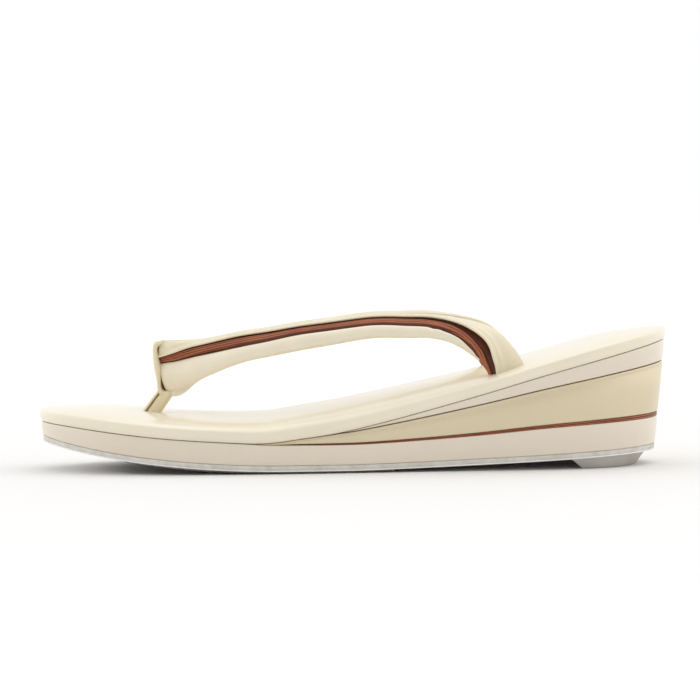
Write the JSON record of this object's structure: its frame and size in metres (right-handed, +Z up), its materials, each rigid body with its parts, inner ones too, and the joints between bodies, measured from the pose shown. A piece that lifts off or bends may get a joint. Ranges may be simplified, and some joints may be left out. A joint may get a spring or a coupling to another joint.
{
  "type": "zori sandal",
  "caption": "Formal zori sandal: layered wedge sole in cream, gold and copper, padded footbed, and a padded V strap held by a front thong.",
  "frame": {"origin": "on the floor, under the middle of the sandal's length and width", "axes": "+Z up, +X from the toe towards the heel, -Y towards the wearer's left"},
  "size_m": [0.24, 0.085, 0.0587],
  "materials": {
    "grey_rubber": "matt",
    "pale_rubber": "matt",
    "pearl_sheet": "gloss pearl coating",
    "gold_sheet": "satin metallic coating",
    "copper_sheet": "satin metallic coating",
    "strap_sheet": "gloss pearl coating"
  },
  "bodies": {
    "root": {"tread_patch": "grey_rubber", "outsole": "pale_rubber", "heel_lift": "pale_rubber", "lower_core": "pearl_sheet", "copper_band": "copper_sheet", "middle_core": "gold_sheet", "upper_core": "pearl_sheet", "footbed": "pearl_sheet", "hanao_straps": "strap_sheet", "strap_piping_left": "copper_sheet", "strap_piping_right": "copper_sheet", "front_thong": "strap_sheet"}
  },
  "joints": []
}
